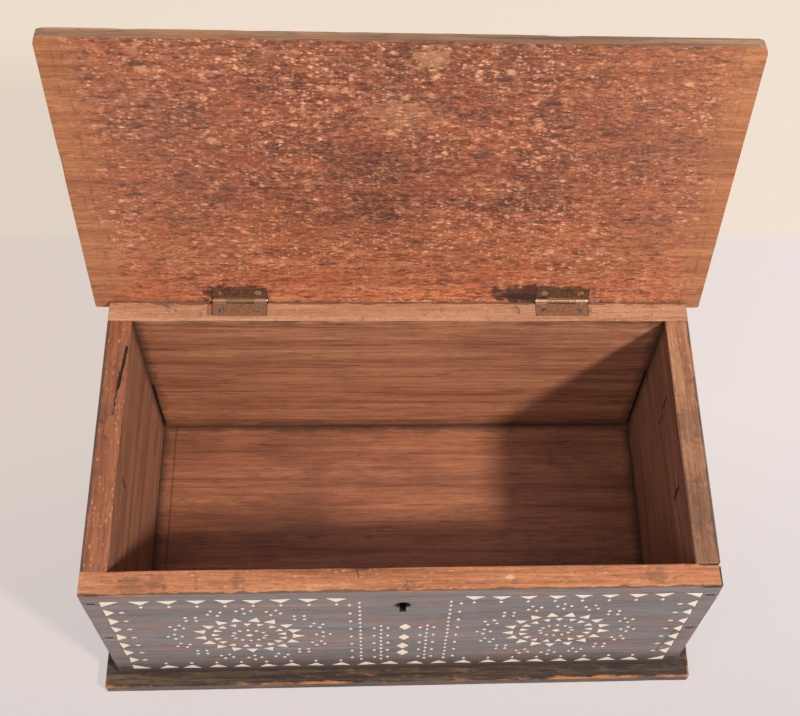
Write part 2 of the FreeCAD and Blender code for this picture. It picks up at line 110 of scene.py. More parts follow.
def add(tree, kind, sockets=None, take=0, stops=None, **settings):
    """Adds a node with its settings, sets or links its inputs, and gives one of its outputs."""
    node = tree.nodes.new(kind)
    for key, value in settings.items():
        setattr(node, key, value)
    if stops:
        elements = node.color_ramp.elements
        while len(elements) < len(stops):
            elements.new(0.5)
        for element, (position, colour) in zip(elements, stops):
            element.position = position
            element.color = linear(colour)
    for key, value in (sockets or {}).items():
        if isinstance(key, int):
            socket = node.inputs[key]
        else:
            socket = next(s for s in node.inputs if key in (s.identifier, s.name))
        if isinstance(value, bpy.types.NodeSocket):
            tree.links.new(value, socket)
        elif isinstance(value, str) and value.startswith("#"):
            socket.default_value = linear(value)
        else:
            socket.default_value = value
    if isinstance(take, int):
        return node.outputs[take] if len(node.outputs) else None
    return next(s for s in node.outputs if take in (s.identifier, s.name))


def new_material(name):
    material = bpy.data.materials.new(name)
    material.use_nodes = True
    material.node_tree.nodes.clear()
    return material, material.node_tree


def surface(tree, colour, roughness, height, depth, more=None):
    """Ends a material: height times depth millimetres is its relief, more is further inputs."""
    bump = add(tree, "ShaderNodeBump", {"Height": height, "Strength": 1.0, "Distance": depth * MM})
    shader = add(tree, "ShaderNodeBsdfPrincipled",
                 {"Base Color": colour, "Roughness": roughness, "Normal": bump, **(more or {})})
    add(tree, "ShaderNodeOutputMaterial", {"Surface": shader})


class Coats:
    """The colours of a surface, laid over one another as stain, wear and grime are."""

    def __init__(self, tree, colour):
        self.tree = tree
        self.colour = colour

    def lay(self, colour, where, strength=1.0, within=None):
        """Lays a colour over the rest where the pattern is near 1, at most strength thick, and
        only where the pattern within is near 1 too, if one is given."""
        if within:
            where = add(self.tree, "ShaderNodeMath", {0: where, 1: within}, operation="MULTIPLY")
        cover = add(self.tree, "ShaderNodeMath", {0: where, 1: strength}, operation="MULTIPLY",
                    use_clamp=True)
        self.colour = add(self.tree, "ShaderNodeMix",
                          {"Factor_Float": cover, "A_Color": self.colour, "B_Color": colour},
                          take="Result_Color", data_type="RGBA")

    def mottle(self, point, rows):
        """Lays blotches in turn: colour, size, low, high, stretch, detail and strength."""
        for colour, size, low, high, stretch, detail, strength in rows:
            where = blotches(self.tree, point, size, low, high, stretch, detail)
            self.lay(colour, where, strength)


def blotches(tree, point, size, low, high, stretch=1.0, detail=4.0):
    """Patches about size millimetres across, stretched along X: 0 outside and 1 inside."""
    scaled = add(tree, "ShaderNodeVectorMath",
                 {0: point, 1: (1 / (size * stretch), 1 / size, 1 / size)}, operation="MULTIPLY")
    cloud = add(tree, "ShaderNodeTexNoise", {"Vector": scaled, "Scale": 1.0, "Detail": detail,
                                             "Roughness": 0.66})
    return add(tree, "ShaderNodeMapRange", {"Value": cloud, "From Min": low, "From Max": high})


def flecks(tree, point, length, height, largest, softness=0.35):
    """Small separate lens-shaped spots of mixed sizes: largest is their share of a cell."""
    frayed = blotches(tree, point, height * 0.8, 0.2, 0.8, 2.0)
    strayed = add(tree, "ShaderNodeVectorMath", {0: frayed, "Scale": height * 0.9},
                  operation="SCALE")
    moved = add(tree, "ShaderNodeVectorMath", {0: point, 1: strayed}, operation="ADD")
    scaled = add(tree, "ShaderNodeVectorMath", {0: moved, 1: (1 / length, 1 / height, 1 / height)},
                 operation="MULTIPLY")
    cells = add(tree, "ShaderNodeTexVoronoi", {"Vector": scaled, "Scale": 1.0})
    chance = add(tree, "ShaderNodeSeparateColor", {0: cells.node.outputs["Color"]})
    size = add(tree, "ShaderNodeMath", {0: chance, 1: 2.2}, operation="POWER")
    radius = add(tree, "ShaderNodeMath", {0: size, 1: largest}, operation="MULTIPLY")
    core = add(tree, "ShaderNodeMath", {0: radius, 1: softness}, operation="MULTIPLY")
    return add(tree, "ShaderNodeMapRange", {"Value": cells, "From Min": radius, "From Max": core})


def patch(tree, point, centre, size, ragged=0.4, grain=6.0):
    """One rounded patch: centre and half sizes in millimetres, with a ragged soft edge."""
    shifted = add(tree, "ShaderNodeVectorMath", {0: point, 1: centre}, operation="SUBTRACT")
    scaled = add(tree, "ShaderNodeVectorMath", {0: shifted, 1: [1 / half for half in size]},
                 operation="MULTIPLY")
    length = add(tree, "ShaderNodeVectorMath", {0: scaled}, take="Value", operation="LENGTH")
    edge = blotches(tree, point, grain, 0.2, 0.8, 1.5)
    frayed = add(tree, "ShaderNodeMath", {0: edge, 1: ragged, 2: length},
                 operation="MULTIPLY_ADD")
    return add(tree, "ShaderNodeMapRange", {"Value": frayed, "From Min": 1.05 + ragged / 2,
                                            "From Max": 0.75 + ragged / 2})


def thin_line(tree, value, at, faint, full):
    """A line where a value passes at: gone at faint and solid at full millimetres from it."""
    away = add(tree, "ShaderNodeMath", {0: value, 1: at}, operation="SUBTRACT")
    off = add(tree, "ShaderNodeMath", {0: away}, operation="ABSOLUTE")
    return add(tree, "ShaderNodeMapRange", {"Value": off, "From Min": faint, "From Max": full})


def fading(tree, along, value, size, stretch, most, least, full=0.0):
    """1 where a value is under full, fading out between least and most + least, raggedly."""
    ragged = blotches(tree, along, size, 0.2, 0.8, stretch)
    reach = add(tree, "ShaderNodeMath", {0: ragged, 1: most, 2: least}, operation="MULTIPLY_ADD")
    return add(tree, "ShaderNodeMapRange", {"Value": value, "From Min": reach, "From Max": full})


def to_planes(tree, point, low, high):
    """For each axis, millimetres from a point to the nearer of the planes at low and high."""
    from_low = add(tree, "ShaderNodeVectorMath", {0: point, 1: low}, operation="SUBTRACT")
    to_high = add(tree, "ShaderNodeVectorMath", {0: high, 1: point}, operation="SUBTRACT")
    return add(tree, "ShaderNodeVectorMath", {0: from_low, 1: to_high}, operation="MINIMUM")


def millimetres(tree, place=(0, 0, 0), turn=(0, 0, 0)):
    """Object coordinates in millimetres, turned and then moved."""
    point = add(tree, "ShaderNodeTexCoord", take="Object")
    scaled = add(tree, "ShaderNodeVectorMath", {0: point, "Scale": 1 / MM}, operation="SCALE")
    return add(tree, "ShaderNodeMapping", {"Vector": scaled, "Location": place, "Rotation": turn})


def component(tree, vector, axis):
    """One of a vector's three numbers."""
    split = add(tree, "ShaderNodeSeparateXYZ", {0: vector})
    return split.node.outputs[axis]


def wood_group():
    """Hand-sawn hardwood: broad figure, streaks and pores along X, in millimetres."""
    tree = bpy.data.node_groups.new("hardwood_grain", "ShaderNodeTree")
    face = tree.interface
    face.new_socket("Point", in_out="INPUT", socket_type="NodeSocketVector")
    for name in ("Dark", "Middle", "Light"):
        face.new_socket(name, in_out="INPUT", socket_type="NodeSocketColor")
    face.new_socket("Contrast", in_out="INPUT", socket_type="NodeSocketFloat")
    face.new_socket("Colour", in_out="OUTPUT", socket_type="NodeSocketColor")
    face.new_socket("Height", in_out="OUTPUT", socket_type="NodeSocketFloat")
    given = tree.nodes.new("NodeGroupInput")
    point = given.outputs["Point"]
    layers = []
    # broad figure 13 mm across, streaks 3 mm, fibres 1.1 mm, drawn a little coarse to show
    for along, across, detail, distortion in ((240, 13, 4, 0.5), (100, 3.0, 6, 0.2), (26, 1.1, 3, 0)):
        stretched = add(tree, "ShaderNodeVectorMath",
                        {0: point, 1: (1 / along, 1 / across, 1 / across)}, operation="MULTIPLY")
        layers.append(add(tree, "ShaderNodeTexNoise",
                          {"Vector": stretched, "Scale": 1.0, "Detail": detail, "Roughness": 0.66,
                           "Distortion": distortion}))
    figure = add(tree, "ShaderNodeMath", {0: layers[0], 1: 0.9}, operation="MULTIPLY")
    streaks = add(tree, "ShaderNodeMath", {0: layers[1], 1: 0.8, 2: figure}, operation="MULTIPLY_ADD")
    fibres = add(tree, "ShaderNodeMath", {0: layers[2], 1: 0.5, 2: streaks}, operation="MULTIPLY_ADD")
    centred = add(tree, "ShaderNodeMath", {0: fibres, 1: 1.1}, operation="SUBTRACT")
    value = add(tree, "ShaderNodeMath", {0: centred, 1: given.outputs["Contrast"], 2: 0.5},
                operation="MULTIPLY_ADD", use_clamp=True)
    lower = add(tree, "ShaderNodeMapRange", {"Value": value, "From Min": 0.0, "From Max": 0.5})
    upper = add(tree, "ShaderNodeMapRange", {"Value": value, "From Min": 0.5, "From Max": 1.0})
    coats = Coats(tree, given.outputs["Dark"])
    coats.lay(given.outputs["Middle"], lower)
    coats.lay(given.outputs["Light"], upper)
    # open pores, short dark dashes along the grain
    dashes = add(tree, "ShaderNodeVectorMath", {0: point, 1: (1 / 9, 1 / 0.9, 1 / 0.9)},
                 operation="MULTIPLY")
    pores = add(tree, "ShaderNodeTexNoise", {"Vector": dashes, "Scale": 1.0, "Detail": 1.0})
    pore = add(tree, "ShaderNodeMapRange", {"Value": pores, "From Min": 0.62, "From Max": 0.7})
    coats.lay(given.outputs["Dark"], pore, 0.5)
    raised = add(tree, "ShaderNodeMath", {0: pore, 1: -0.5, 2: layers[2]}, operation="MULTIPLY_ADD")
    height = add(tree, "ShaderNodeMath", {0: layers[1], 1: 0.8, 2: raised}, operation="MULTIPLY_ADD")
    add(tree, "NodeGroupOutput", {"Colour": coats.colour, "Height": height})
    return tree


GRAIN = wood_group()


def wood(tree, along, dark, middle, light, contrast):
    """Hardwood in three colours; gives its colour and its height."""
    node = tree.nodes.new("ShaderNodeGroup")
    node.node_tree = GRAIN
    tree.links.new(along, node.inputs["Point"])
    for name, colour in (("Dark", dark), ("Middle", middle), ("Light", light)):
        node.inputs[name].default_value = linear(colour)
    node.inputs["Contrast"].default_value = contrast
    return node.outputs["Colour"], node.outputs["Height"]


class Board:
    """What a board's materials need to know: its corners on the closed box, which way its
    outer face looks, its grain, and the box corner faces that it meets inside."""

    def __init__(self, name, low, high, outwards, along_y=False, swung=False, offset=0.0):
        self.name = name
        self.low = Vector(low) / MM
        self.high = Vector(high) / MM
        self.outwards = Vector(outwards)
        self.along_y = along_y
        self.swung = swung
        self.offset = offset

    def points(self, tree):
        """The point in millimetres on the closed box, and the same with the grain along X."""
        place = Vector((0, 0, 0))
        turn = (0, 0, 0)
        if self.swung:
            turn = (travel, 0, 0)
            place = pin / MM - Matrix.Rotation(travel, 3, "X") @ (pin / MM)
        point = millimetres(tree, place, turn)
        turn_grain = (0, 0, math.pi / 2 if self.along_y else 0)
        along = add(tree, "ShaderNodeMapping", {"Vector": point, "Rotation": turn_grain,
                                                "Location": (self.offset, self.offset / 3, 0)})
        return point, along

    def edge_distance(self, tree, point):
        """Millimetres from a point on the surface to the board's nearest arris."""
        near = to_planes(tree, point, self.low, self.high)
        x, y, z = [component(tree, near, axis) for axis in range(3)]
        low_xy = add(tree, "ShaderNodeMath", {0: x, 1: y}, operation="MINIMUM")
        high_xy = add(tree, "ShaderNodeMath", {0: x, 1: y}, operation="MAXIMUM")
        inner = add(tree, "ShaderNodeMath", {0: low_xy, 1: z}, operation="MAXIMUM")
        return add(tree, "ShaderNodeMath", {0: inner, 1: high_xy}, operation="MINIMUM")

    def depth(self, tree, point):
        """Millimetres from a point to the plane of the board's outer face."""
        corner = [high if way > 0 else low for low, high, way
                  in zip(self.low, self.high, self.outwards)]
        inwards = add(tree, "ShaderNodeVectorMath", {0: point, 1: -self.outwards}, take="Value",
                      operation="DOT_PRODUCT")
        return add(tree, "ShaderNodeMath", {0: inwards, 1: Vector(corner).dot(self.outwards)},
                   operation="ADD")

    def crevice(self, tree, point):
        """Millimetres from a point inside the box to the nearest corner that it has there."""
        low = Vector((left_high[0], front_high[1], floor_of_box)) / MM
        high = Vector((right_low[0], back_low[1], 1.0)) / MM
        near = to_planes(tree, point, low, high)
        kept = [axis for axis in range(3) if not self.outwards[axis]]
        first, second = [component(tree, near, axis) for axis in kept]
        return add(tree, "ShaderNodeMath", {0: first, 1: second}, operation="MINIMUM")


BOARDS = {
    "front_board": Board("front", front_low, front_high, (0, -1, 0), offset=40.0),
    "back_board": Board("back", back_low, back_high, (0, 1, 0), offset=520.0),
    "left_side_board": Board("left_side", left_low, left_high, (-1, 0, 0), True, offset=910.0),
    "right_side_board": Board("right_side", right_low, right_high, (1, 0, 0), True, offset=1330.0),
    "base_board": Board("base", base_low, base_high, (0, 0, -1), offset=1710.0),
    "lid_board": Board("lid", *closed_box("lid_board"), (0, 0, 1), swung=True, offset=2230.0),
}


# ---- the woods

def finish_wood(tree, colour, height, roughness, depth, coat=0.0, cracks=None):
    """The shader that ends every wood: depth is the relief of the grain in millimetres, and
    cracks is a mask of what is split open, black and sunk."""
    if cracks:
        coats = Coats(tree, colour)
        coats.lay("#150e0b", cracks, 0.97)
        colour = coats.colour
        height = add(tree, "ShaderNodeMath", {0: cracks, 1: -6.0, 2: height},
                     operation="MULTIPLY_ADD")
    surface(tree, colour, roughness, height, depth,
            {"IOR": 1.5, "Coat Weight": coat, "Coat Roughness": 0.28})


def cracks_of(name):
    """A board's cracks and open joints: start, end and width in millimetres."""
    left = front_low[0] / MM
    right = front_high[0] / MM
    front = front_low[1] / MM
    back = back_low[1] / MM
    inner_left = left_high[0] / MM
    inner_right = right_low[0] / MM
    top = rim / MM
    floor = floor_of_box / MM
    if name == "front":
        return [((left - 1, front, top - 78), (left + 24, front, top - 77), 0.8),
                ((right + 1, front, top - 75), (right - 22, front, top - 73), 0.8),
                ((right - 14, front, top - 80), (right - 19, front, top - 122), 0.6),
                ((right - 9.5, front, top - 13), (right + 1, front, top - 14), 0.7),
                ((left - 1, front, top - 13), (left + 7, front, top - 13), 0.5),
                ((-29, front + 15.5, top), (-28, front + 9, top), 0.5)]
    if name == "back":
        return [((inner_left + 0.7, back, floor + 3), (inner_left + 0.7, back, floor + 66), 1.6),
                ((inner_right - 0.7, back, floor + 3), (inner_right - 0.7, back, floor + 84), 1.4)]
    if name == "left_side":
        return [((inner_left - 1.5, 66, top), (inner_left - 4.5, 36, top), 1.7),
                ((inner_left - 4.5, 48, top), (inner_left - 6.0, 18, top), 0.7),
                ((inner_left, -17, top - 20), (inner_left, -18, top - 32), 1.8)]
    if name == "right_side":
        return [((inner_right, 40, top - 21), (inner_right, 38.5, top - 34), 2.0),
                ((inner_right, 36, top - 41), (inner_right, 35, top - 51), 1.6),
                ((inner_right, -26, top - 20), (inner_right, -28, top - 33), 2.8)]
    return []


def cracked(tree, board, point):
    """A mask of a board's cracks, jagged lines, or None where it has no cracks."""
    stray = 1.2
    jagged = blotches(tree, point, 3.5, 0.2, 0.8)
    strayed = add(tree, "ShaderNodeVectorMath", {0: jagged, "Scale": stray}, operation="SCALE")
    moved = add(tree, "ShaderNodeVectorMath", {0: point, 1: strayed}, operation="ADD")
    mask = None
    for start, end, width in cracks_of(board.name):
        run = Vector(end) - Vector(start)
        origin = Vector(start) + Vector((stray / 2, stray / 2, stray / 2))
        from_start = add(tree, "ShaderNodeVectorMath", {0: moved, 1: origin}, operation="SUBTRACT")
        part = add(tree, "ShaderNodeVectorMath", {0: from_start, 1: run / run.length_squared},
                   take="Value", operation="DOT_PRODUCT")
        within = add(tree, "ShaderNodeClamp", {"Value": part})
        nearest = add(tree, "ShaderNodeVectorMath", {0: run, "Scale": within}, operation="SCALE")
        away = add(tree, "ShaderNodeVectorMath", {0: from_start, 1: nearest}, operation="SUBTRACT")
        off = add(tree, "ShaderNodeVectorMath", {0: away}, take="Value", operation="LENGTH")
        line = add(tree, "ShaderNodeMapRange",
                   {"Value": off, "From Min": width * 0.62, "From Max": width * 0.38})
        mask = line if mask is None else add(tree, "ShaderNodeMath", {0: mask, 1: line},
                                             operation="MAXIMUM")
    return mask


def worn_arris(tree, board, point, along, reach, low):
    """A mask of bare spots along a board's arrises, at most reach millimetres wide."""
    distance = board.edge_distance(tree, point)
    ragged = blotches(tree, along, 5, 0.3, 0.75, 3.0)
    width = add(tree, "ShaderNodeMath", {0: ragged, 1: reach, 2: 0.2}, operation="MULTIPLY_ADD")
    near = add(tree, "ShaderNodeMath", {0: distance, 1: width}, operation="LESS_THAN")
    some = blotches(tree, along, 22, low, low + 0.1, 2.5)
    return add(tree, "ShaderNodeMath", {0: near, 1: some}, operation="MULTIPLY")


def stained_wood(board):
    """Hardwood stained nearly black, then rubbed and waxed for a century: a satin surface,
    slate grey where the wax is thick and partly a painted sheen, red-brown where it has worn, bare on the arrises."""
    material, tree = new_material("waxed_stained_hardwood_" + board.name)
    point, along = board.points(tree)
    # painted sheen: the slate grey base colour stands partly for the pale table reflected in the satin wax
    colour, height = wood(tree, along, "#453f40", "#655f60", "#807978", 1.5)
    coats = Coats(tree, colour)
    red_wood, _ = wood(tree, along, "#4d352d", "#74564a", "#96705f", 1.7)
    coats.mottle(along, [
        (red_wood, 22, 0.48, 0.62, 3.0, 8.0, 0.85),
        ("#2a2422", 7, 0.56, 0.7, 6.0, 8.0, 0.6),
        ("#8f8684", 1.4, 0.56, 0.7, 9.0, 5.0, 0.35)])
    coats.lay("#2b2322", blotches(tree, point, 1.3, 0.58, 0.68, 3.0, 5.0), 0.4)
    # the stained wood darkens towards the foot of the walls
    foot = add(tree, "ShaderNodeMapRange",
               {"Value": component(tree, point, 2), "From Min": floor_of_box / MM + 30,
                "From Max": floor_of_box / MM})
    coats.lay("#2a1d17", foot, 0.85)
    coats.lay("#5a514d", worn_arris(tree, board, point, along, 2.0, 0.3), 0.6)
    coats.lay("#b3734a", worn_arris(tree, board, point, along, 1.6, 0.56), 0.9)
    gloss = blotches(tree, along, 30, 0.3, 0.7, 2.0)
    roughness = add(tree, "ShaderNodeMapRange", {"Value": gloss, "To Min": 0.36, "To Max": 0.5})
    if board.name == "front":
        hole = keyhole_centre / MM
        coats.lay("#1a1311", patch(tree, point, (hole.x, board.low.y, hole.z - 1), (6.6, 9, 5.0),
                                   0.5, 3.0), 0.9)
    finish_wood(tree, coats.colour, height, roughness, 0.16, 0.3, cracked(tree, board, point))
    return material


def base_wood(board):
    """The base board: stained black-brown and scuffed outside, with orange where its front
    arris has rubbed through, and inside the walls the same red-brown wood as theirs."""
    material, tree = new_material("scuffed_stained_hardwood_base")
    point, along = board.points(tree)
    colour, height = wood(tree, along, "#1f1916", "#3a2d26", "#65503f", 2.2)
    coats = Coats(tree, colour)
    coats.mottle(along, [
        ("#7d6653", 5, 0.54, 0.7, 3.0, 10.0, 0.55),
        ("#1b1512", 2.2, 0.54, 0.68, 4.0, 6.0, 0.55),
        ("#8a6a52", 1.2, 0.58, 0.7, 5.0, 4.0, 0.4),
        ("#a8683f", 4, 0.6, 0.68, 9.0, 8.0, 0.8)])
    coats.lay("#b9763f", worn_arris(tree, board, point, along, 2.4, 0.5), 0.9)
    floor, _ = wood(tree, along, "#744632", "#a0664a", "#ba7f5d", 1.9)
    inside = Coats(tree, floor)
    inside.mottle(along, [
        ("#6d4433", 40, 0.46, 0.66, 2.0, 4.0, 0.6),
        ("#4b3026", 2.6, 0.6, 0.7, 9.0, 4.0, 0.6),
        ("#513328", 1.0, 0.54, 0.68, 14.0, 5.0, 0.5)])
    inside.lay("#b98260", flecks(tree, along, 12, 3, 0.2), 0.5)
    # a line scribed along the left wall
    scribe_x = left_high[0] / MM + 9.0
    inside.lay("#432a21", thin_line(tree, component(tree, point, 0), scribe_x, 0.8, 0.3), 0.6)
    crevice = board.crevice(tree, point)
    # dust and painted shade darken the floor along the corners where it meets the walls
    inside.lay("#33251f", fading(tree, along, crevice, 8, 2.0, 10.0, 1.5), 0.85)
    within = add(tree, "ShaderNodeMath", {0: crevice, 1: -5.0}, operation="GREATER_THAN")
    upper = add(tree, "ShaderNodeMath", {0: component(tree, point, 2), 1: board.high.z - 1.0},
                operation="GREATER_THAN")
    coats.lay(inside.colour, within, 1.0, upper)
    finish_wood(tree, coats.colour, height, 0.48, 0.22)
    return material


# dark, middle and light colour of each wall's sawn rim
RIMS = {
    "front": ("#82502f", "#b0704a", "#cc8e65"),
    "back": ("#956a4d", "#b78464", "#cb9c7c"),
    "left_side": ("#683a24", "#8f573a", "#aa6e49"),
    "right_side": ("#764e37", "#a06f50", "#bf8f6c"),
}


def bare_wood(board):
    """The same hardwood inside the box and on the rim: unfinished, red-brown, darkened by
    hands, with dust and painted shade towards the inside corners and the back wall painted lighter where the key
    light falls on it; the sawn rim is tan and spotted, with a grey line where the stain ends."""
    material, tree = new_material("bare_hardwood_" + board.name)
    point, along = board.points(tree)
    height_here = component(tree, point, 2)
    # painted light: the back wall takes lighter wood than the other walls, standing for the key light that falls
    # on it
    painted_lit_wall = board.name == "back"
    shades = ("#7d4d3d", "#b27557", "#cc946e") if painted_lit_wall else ("#654336", "#8d614b", "#a77c60")
    colour, height = wood(tree, along, *shades, 2.0)
    coats = Coats(tree, colour)
    coats.mottle(along, [
        (shades[0], 30, 0.5, 0.66, 3.0, 8.0, 0.5),
        ("#3c2820", 2.4, 0.59, 0.68, 16.0, 4.0, 0.6),
        ("#4a3026", 1.0, 0.56, 0.68, 14.0, 5.0, 0.4),
        ("#b8805c", 9, 0.58, 0.74, 4.0, 8.0, 0.45)])
    coats.lay("#c99a74", flecks(tree, along, 14, 4, 0.16), 0.5)
    # damp has darkened the wood just under the rim
    under = add(tree, "ShaderNodeMapRange", {"Value": height_here, "From Min": rim / MM - 11.0,
                                             "From Max": rim / MM - 2.0})
    coats.lay("#36251e", under, 0.7, blotches(tree, along, 14, 0.46, 0.62, 3.0))
    # dust and painted shade darken the walls towards the inside corners
    coats.lay("#2f221c", fading(tree, along, board.crevice(tree, point), 12, 1.3, 13.0, 1.5), 0.8)
    sawn, _ = wood(tree, along, *RIMS[board.name], 2.2)
    top = Coats(tree, sawn)
    top.mottle(along, [
        (RIMS[board.name][0], 6, 0.54, 0.68, 2.0, 10.0, 0.6),
        (RIMS[board.name][2], 3, 0.54, 0.7, 2.0, 8.0, 0.5),
        ("#5a3d2d", 1.1, 0.57, 0.68, 3.5, 5.0, 0.5)])
    top.lay("#54402f", blotches(tree, point, 9, 0.58, 0.68, 1.0, 10.0), 0.6)
    top.lay("#e0a981", flecks(tree, along, 4.0, 1.6, 0.5), 0.5)
    top.lay("#5b3a2a", flecks(tree, point, 9, 9, 0.13), 0.7)
    if board.name == "right_side":
        top.lay("#5a3b2b", add(tree, "ShaderNodeMapRange",
                               {"Value": component(tree, point, 1), "From Min": 60.0,
                                "From Max": -70.0}), 0.55)
    # knots and handled places: x, y and half size in millimetres
    for x, y, size in ((-99, -92, 5.0), (-160, -95, 8.0), (-146, -92, 6.0), (150, -93, 7.0),
                       (-187, 20, 9.0), (-188, -20, 7.0), (184, 8, 17.0), (183, -48, 24.0)):
        top.lay("#5a4232", patch(tree, point, (x, y, rim / MM), (size, size * 0.8, 9), 2.2, 4.0),
                0.38)
    top.lay("#d9c2a4", patch(tree, point, (62, -92, rim / MM), (3.0, 1.4, 9), 1.4, 1.6), 0.6)
    depth = board.depth(tree, point)
    width = blotches(tree, along, 7, 0.25, 0.75, 2.5)
    line = add(tree, "ShaderNodeMath", {0: width, 1: 3.0, 2: 0.1}, operation="MULTIPLY_ADD")
    stain_line = add(tree, "ShaderNodeMath", {0: depth, 1: line}, operation="LESS_THAN")
    top.lay("#4f4038", stain_line, 0.75)
    on_rim = add(tree, "ShaderNodeMath", {0: height_here, 1: rim / MM - 0.9},
                 operation="GREATER_THAN")
    coats.lay(top.colour, on_rim)
    finish_wood(tree, coats.colour, height, 0.55, 0.22, 0.0, cracked(tree, board, point))
    return material


def lid_underside(board):
    """The lid's inner face: bare red-brown wood, dry and flecked where its surface has
    lifted, brighter near the hinges, with margins beyond a scribed line, and stains."""
    material, tree = new_material("flecked_bare_hardwood_lid")
    point, along = board.points(tree)
    colour, height = wood(tree, along, "#4f2a20", "#84452f", "#b06845", 1.3)
    coats = Coats(tree, colour)
    coats.lay("#4e2f26", blotches(tree, along, 30, 0.46, 0.58, 1.6, 6.0), 0.6)
    from_pin = add(tree, "ShaderNodeMath", {0: pin.y / MM, 1: component(tree, point, 1)},
                   operation="SUBTRACT")
    warm_wood, _ = wood(tree, along, "#93452a", "#c96f48", "#eda074", 1.8)
    coats.lay(warm_wood, fading(tree, along, from_pin, 18, 2.5, 85.0, 40.0, 2.0), 0.95)
    tan_wood, _ = wood(tree, along, "#5c3422", "#80482f", "#a06543", 1.8)
    coats.lay(tan_wood, add(tree, "ShaderNodeMapRange",
                            {"Value": from_pin, "From Min": 165.0, "From Max": 200.0}), 0.75)
    sideways = add(tree, "ShaderNodeMath", {0: component(tree, point, 0)}, operation="ABSOLUTE")
    coats.lay("#b5704e", add(tree, "ShaderNodeMapRange",
                             {"Value": sideways, "From Min": 70.0, "From Max": 190.0}), 0.5)
    coats.lay("#ab5d3b", blotches(tree, along, 42, 0.48, 0.6, 1.5, 6.0), 0.4)
    # torn fibres, dark and light, all over
    shifted = add(tree, "ShaderNodeVectorMath", {0: along, 1: (57.0, 31.0, 0.0)}, operation="ADD")
    coats.lay("#3f251e", blotches(tree, along, 2.2, 0.5, 0.6, 2.8, 8.0), 0.55)
    coats.lay("#d2865c", blotches(tree, shifted, 2.2, 0.54, 0.64, 2.4, 8.0), 0.55)
    coats.lay("#e09b70", blotches(tree, along, 0.8, 0.54, 0.68, 3.0, 2.0), 0.4)
    coats.lay("#44291f", blotches(tree, shifted, 0.8, 0.54, 0.68, 4.0, 2.0), 0.4)
    # dry flecks in four sizes, thick in some places and with a haze round them there
    where = blotches(tree, along, 36, 0.42, 0.58, 1.4, 6.0)
    haze = blotches(tree, along, 5, 0.52, 0.66, 1.6, 10.0)
    coats.lay("#d6936f", haze, 0.7, where)
    thick = add(tree, "ShaderNodeMapRange", {"Value": where, "To Min": 0.25, "To Max": 1.0})
    for length, tall, largest, strength in ((2.6, 1.5, 0.62, 0.9), (4.5, 2.6, 0.56, 0.95),
                                            (8.0, 4.6, 0.45, 0.95), (17.0, 11.0, 0.3, 0.85)):
        spots = flecks(tree, along, length, tall, largest, 0.0)
        coats.lay("#fbbd94", spots, strength, thick)
    # a paler smear where something has been rubbed across, in the upper middle
    coats.lay("#c8916e", patch(tree, point, (-4, -56, board.low.z), (22, 13, 9), 2.4, 4.0), 0.3)
    coats.mottle(along, [
        ("#352420", 2.4, 0.56, 0.64, 4.0, 6.0, 0.6),
        ("#33272a", 7, 0.59, 0.68, 2.6, 8.0, 0.65)])
    margin_wood, _ = wood(tree, along, "#7d4a2e", "#a76b42", "#c68c5e", 1.6)
    waver = blotches(tree, along, 30, 0.2, 0.8, 1.0)
    line = add(tree, "ShaderNodeMath", {0: waver, 1: 1.4, 2: board.high.x - 14.5},
               operation="MULTIPLY_ADD")
    beyond = add(tree, "ShaderNodeMath", {0: sideways, 1: line}, operation="SUBTRACT")
    frayed = blotches(tree, along, 9, 0.3, 0.7, 2.0, 8.0)
    ragged = add(tree, "ShaderNodeMath", {0: frayed, 1: -26.0}, operation="MULTIPLY")
    coats.lay(margin_wood, add(tree, "ShaderNodeMapRange",
                               {"Value": beyond, "From Min": ragged, "From Max": 6.0}), 0.8)
    coats.lay("#5d3826", blotches(tree, along, 2.4, 0.58, 0.68, 3.0, 8.0), 0.5)
    broken = blotches(tree, point, 9, 0.46, 0.62)
    for at in (0.0, 5.0):
        coats.lay("#3b2721", thin_line(tree, beyond, at, 0.7, 0.1), 0.5, broken)
    coats.lay("#4a3126", thin_line(tree, from_pin, 199.5, 0.8, 0.2), 0.6, broken)
    # a pale bare patch at the front edge
    coats.lay("#c18a64", patch(tree, point, (14, pin.y / MM - 199, board.low.z), (11, 8.0, 9),
                               1.6, 4.0), 0.5)
    # stains round the hinges, the right one spread towards the middle of the lid
    for node, spread in (("left_hinge_lid_leaf", 3.0), ("right_hinge_lid_leaf", 16.0)):
        low, high = closed_box(node)
        centre = (low + high) / 2 / MM
        half = (high - low) / 2 / MM
        coats.lay("#33231d", patch(tree, point, (centre.x - spread, centre.y - 1.5, board.low.z),
                                   (half.x + 3 + spread, half.y + 2.5, 9), 1.1, 5.0), 0.85)
    coats.lay("#2f201b", patch(tree, point, (centre.x - 27, centre.y + 0.5, board.low.z),
                               (14, 3.6, 9), 0.4, 4.0), 0.8)
    finish_wood(tree, coats.colour, height, 0.6, 0.25)
    return material


def lid_edge(board):
    """The lid's edges: the stain has worn off them and left a greyish tan."""
    material, tree = new_material("worn_edge_hardwood_lid")
    point, along = board.points(tree)
    colour, height = wood(tree, along, "#6d5040", "#9c775a", "#bf9775", 2.0)
    coats = Coats(tree, colour)
    coats.mottle(along, [
        ("#b1774c", 16, 0.5, 0.64, 3.0, 4.0, 0.6),
        ("#47352b", 4, 0.6, 0.7, 9.0, 4.0, 0.6)])
    finish_wood(tree, coats.colour, height, 0.5, 0.2)
    return material


